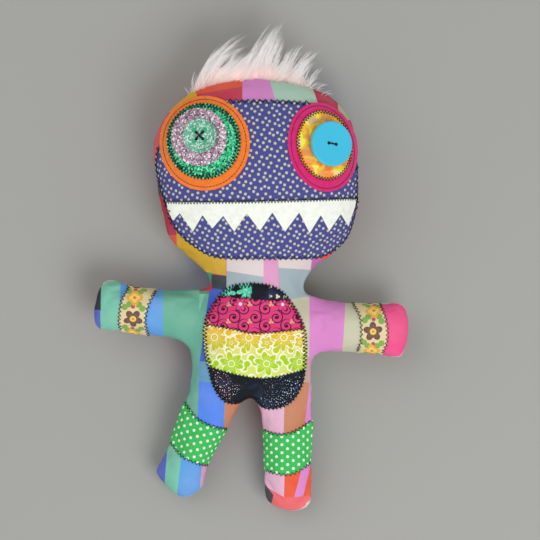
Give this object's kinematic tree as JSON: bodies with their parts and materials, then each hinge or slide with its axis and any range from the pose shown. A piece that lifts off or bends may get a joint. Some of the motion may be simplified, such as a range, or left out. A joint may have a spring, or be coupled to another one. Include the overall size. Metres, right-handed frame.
{
  "type": "rag doll",
  "caption": "Stuffed cloth monster doll lying on its back, with felt teeth, layered button eyes, a patched belly and a tuft of pile on its head; the head, arms and legs swing.",
  "frame": {"origin": "on the flat patch of the torso's back, where the doll lies on a table, in line with the middle of the belly patch", "axes": "+Y from the feet to the head, +Z out of the doll's front, +X to the right of a viewer who looks at the face"},
  "size_m": [0.2347, 0.3713, 0.078],
  "materials": {
    "belly_black_band": "printed cotton",
    "belly_lime_band": "printed cotton",
    "belly_pink_band": "printed cotton",
    "belly_top_band": "printed cotton",
    "face_patch": "printed cotton",
    "hair_tuft": "long pile",
    "head_back_cloth": "printed cotton",
    "head_front_cloth": "printed cotton",
    "head_stuffing": "loose polyester fill",
    "left_arm_back_cloth": "printed cotton",
    "left_arm_front_cloth": "printed cotton",
    "left_arm_ribbon": "woven ribbon",
    "left_arm_stuffing": "loose polyester fill",
    "left_eye_button": "glitter filled plastic",
    "left_eye_felt": "felt",
    "left_eye_green_disc": "glitter fabric",
    "left_eye_lilac_disc": "glitter fabric",
    "left_eye_thread": "cotton thread",
    "left_leg_back_cloth": "printed cotton",
    "left_leg_dotted_band": "printed cotton",
    "left_leg_front_cloth": "printed cotton",
    "left_leg_stuffing": "loose polyester fill",
    "right_arm_back_cloth": "printed cotton",
    "right_arm_front_cloth": "printed cotton",
    "right_arm_ribbon": "woven ribbon",
    "right_arm_stuffing": "loose polyester fill",
    "right_eye_button": "glossy plastic",
    "right_eye_felt": "felt",
    "right_eye_satin": "satin",
    "right_eye_thread": "cotton thread",
    "right_leg_back_cloth": "printed cotton",
    "right_leg_dotted_band": "printed cotton",
    "right_leg_front_cloth": "printed cotton",
    "right_leg_stuffing": "loose polyester fill",
    "tooth_strip": "felt",
    "torso_back_cloth": "printed cotton",
    "torso_front_cloth": "printed cotton",
    "torso_stuffing": "loose polyester fill"
  },
  "bodies": {
    "torso": {"belly_black_band": "belly_black_band", "belly_lime_band": "belly_lime_band", "belly_pink_band": "belly_pink_band", "belly_top_band": "belly_top_band", "torso_back_cloth": "torso_back_cloth", "torso_front_cloth": "torso_front_cloth", "torso_stuffing": "torso_stuffing"},
    "head": {"face_patch": "face_patch", "hair_tuft": "hair_tuft", "head_back_cloth": "head_back_cloth", "head_front_cloth": "head_front_cloth", "head_stuffing": "head_stuffing", "left_eye_button": "left_eye_button", "left_eye_felt": "left_eye_felt", "left_eye_green_disc": "left_eye_green_disc", "left_eye_lilac_disc": "left_eye_lilac_disc", "left_eye_thread": "left_eye_thread", "right_eye_button": "right_eye_button", "right_eye_felt": "right_eye_felt", "right_eye_satin": "right_eye_satin", "right_eye_thread": "right_eye_thread", "tooth_strip": "tooth_strip"},
    "left_arm": {"left_arm_back_cloth": "left_arm_back_cloth", "left_arm_front_cloth": "left_arm_front_cloth", "left_arm_ribbon": "left_arm_ribbon", "left_arm_stuffing": "left_arm_stuffing"},
    "right_arm": {"right_arm_back_cloth": "right_arm_back_cloth", "right_arm_front_cloth": "right_arm_front_cloth", "right_arm_ribbon": "right_arm_ribbon", "right_arm_stuffing": "right_arm_stuffing"},
    "left_leg": {"left_leg_back_cloth": "left_leg_back_cloth", "left_leg_dotted_band": "left_leg_dotted_band", "left_leg_front_cloth": "left_leg_front_cloth", "left_leg_stuffing": "left_leg_stuffing"},
    "right_leg": {"right_leg_back_cloth": "right_leg_back_cloth", "right_leg_dotted_band": "right_leg_dotted_band", "right_leg_front_cloth": "right_leg_front_cloth", "right_leg_stuffing": "right_leg_stuffing"}
  },
  "joints": [
    {"name": "neck_nod", "type": "hinge", "parent": "torso", "child": "head", "pos_m": [0.0011, 0.057, 0.0295], "axis": [1, 0, 0], "range_deg": [-20, 30], "stiffness_Nm_per_rad": 0.3},
    {"name": "left_shoulder_swing", "type": "hinge", "parent": "torso", "child": "left_arm", "pos_m": [-0.0237, 0.0213, 0.0265], "axis": [0, 1, 0], "range_deg": [-25, 45], "stiffness_Nm_per_rad": 0.05},
    {"name": "right_shoulder_swing", "type": "hinge", "parent": "torso", "child": "right_arm", "pos_m": [0.0193, 0.0171, 0.0265], "axis": [0, -1, 0], "range_deg": [-25, 45], "stiffness_Nm_per_rad": 0.05},
    {"name": "left_hip_swing", "type": "hinge", "parent": "torso", "child": "left_leg", "pos_m": [-0.0215, -0.0264, 0.0265], "axis": [-1, 0, 0], "range_deg": [-20, 45], "stiffness_Nm_per_rad": 0.08},
    {"name": "right_hip_swing", "type": "hinge", "parent": "torso", "child": "right_leg", "pos_m": [0.0235, -0.0264, 0.0265], "axis": [-1, 0, 0], "range_deg": [-20, 45], "stiffness_Nm_per_rad": 0.08}
  ]
}
